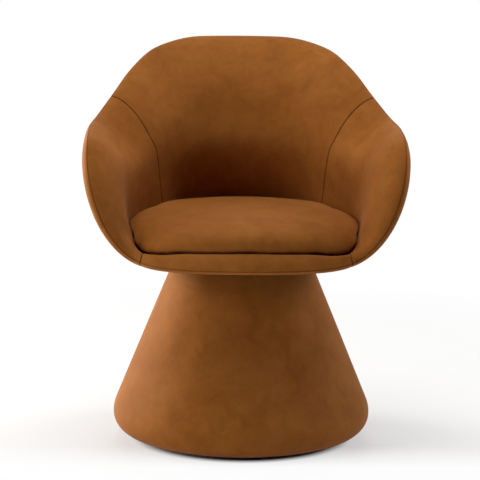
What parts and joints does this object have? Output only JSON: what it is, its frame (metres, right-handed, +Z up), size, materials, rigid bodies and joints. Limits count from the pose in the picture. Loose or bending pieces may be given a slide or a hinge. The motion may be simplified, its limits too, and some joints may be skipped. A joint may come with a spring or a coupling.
{
  "type": "pedestal swivel armchair",
  "caption": "Upholstered tub armchair with low curved arms and a round seat cushion, turning on a padded cone-shaped pedestal.",
  "frame": {"origin": "on the floor, under the swivel's axis and at the middle of the chair's outline", "axes": "+Z up along the swivel axis, -Y towards the front of the seat, +X to the right of someone who looks at the front"},
  "size_m": [0.6372, 0.5583, 0.7987],
  "materials": {
    "tan_leather": "matte cognac leatherette with a soft, faintly mottled hand",
    "foam": "open-cell upholstery foam",
    "moulded_plastic": "dark grey moulding",
    "plywood": "raw birch plywood",
    "black_board": "black painted board",
    "black_cloth": "black non-woven underside cloth",
    "zinc_steel": "zinc plated pressed steel",
    "hard_steel": "ground bearing steel",
    "nylon": "natural nylon",
    "glide_plastic": "black moulded plastic"
  },
  "bodies": {
    "base": {"base_cover": "tan_leather", "base_padding": "foam", "base_shell": "moulded_plastic", "base_top_disc": "plywood", "base_bottom_board": "black_board", "base_rib_1": "plywood", "base_rib_2": "plywood", "base_rib_3": "plywood", "base_rib_4": "plywood", "base_glide_1": "glide_plastic", "base_glide_2": "glide_plastic", "base_glide_3": "glide_plastic", "base_glide_4": "glide_plastic", "base_glide_5": "glide_plastic", "base_glide_6": "glide_plastic", "swivel_lower_plate": "zinc_steel", "lower_plate_screw_1": "zinc_steel", "lower_plate_screw_2": "zinc_steel", "lower_plate_screw_3": "zinc_steel", "lower_plate_screw_4": "zinc_steel", "swivel_pin": "hard_steel", "swivel_washer": "zinc_steel", "swivel_nut": "zinc_steel"},
    "ball_cage": {"swivel_ball_1": "hard_steel", "swivel_ball_2": "hard_steel", "swivel_ball_3": "hard_steel", "swivel_ball_4": "hard_steel", "swivel_ball_5": "hard_steel", "swivel_ball_6": "hard_steel", "swivel_ball_7": "hard_steel", "swivel_ball_8": "hard_steel", "swivel_cage": "nylon"},
    "seat": {"swivel_upper_plate": "zinc_steel", "swivel_bushing": "nylon", "upper_plate_bolt_1": "zinc_steel", "upper_plate_bolt_2": "zinc_steel", "upper_plate_bolt_3": "zinc_steel", "upper_plate_bolt_4": "zinc_steel", "tee_nut_1": "zinc_steel", "tee_nut_2": "zinc_steel", "tee_nut_3": "zinc_steel", "tee_nut_4": "zinc_steel", "seat_board": "plywood", "tub_shell": "moulded_plastic", "dust_cover": "black_cloth", "outer_cover_front": "tan_leather", "outer_cover_right": "tan_leather", "outer_cover_left": "tan_leather", "outer_cover_back": "tan_leather", "front_border_foam": "foam", "arm_foam_right": "foam", "arm_foam_left": "foam", "back_foam": "foam", "front_border_cover": "tan_leather", "arm_cover_right": "tan_leather", "arm_cover_left": "tan_leather", "back_cover": "tan_leather", "seat_cushion_foam": "foam", "seat_cushion_cover": "tan_leather"}
  },
  "joints": [
    {"name": "seat_swivel", "type": "hinge", "parent": "base", "child": "seat", "pos_m": [0, 0, 0.366], "axis": [0, 0, 1], "continuous": true},
    {"name": "cage_spin", "type": "hinge", "parent": "base", "child": "ball_cage", "pos_m": [0, 0, 0.366], "axis": [0, 0, 1], "continuous": true}
  ],
  "couplings": [
    {"joint": "cage_spin", "follows": "seat_swivel", "ratio": 0.5}
  ]
}
